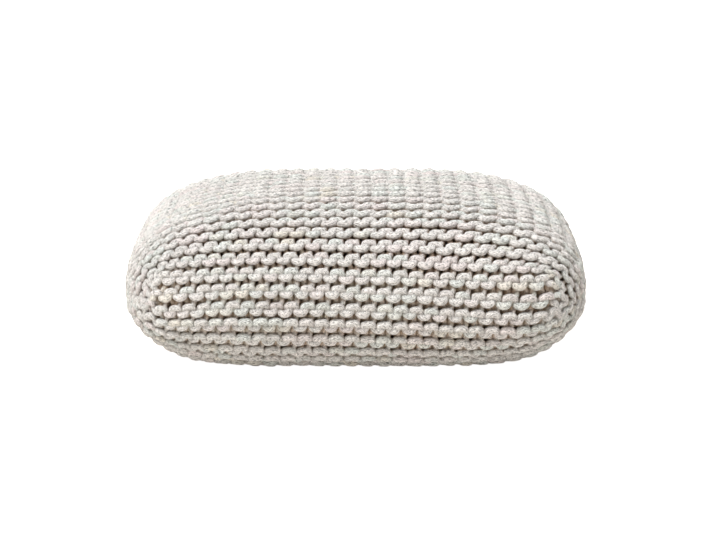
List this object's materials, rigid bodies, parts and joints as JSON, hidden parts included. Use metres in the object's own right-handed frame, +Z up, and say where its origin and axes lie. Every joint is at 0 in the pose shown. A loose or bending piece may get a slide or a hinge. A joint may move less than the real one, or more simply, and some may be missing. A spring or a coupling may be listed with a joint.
{
  "type": "knitted pouf",
  "caption": "Low rectangular floor pouf with round corners, covered in chunky garter stitch in off-white cord, for sitting on or resting the feet on.",
  "frame": {"origin": "centre of the underside, on the surface that the pouf rests on", "axes": "+Z up, +X along the pouf's length and its knitted rows, -Y is the front"},
  "size_m": [0.6, 0.48, 0.216],
  "materials": {
    "cotton_cord": "matt, off-white cotton cord, knitted in garter stitch"
  },
  "bodies": {
    "root": {"knitted_pouf": "cotton_cord"}
  },
  "joints": []
}
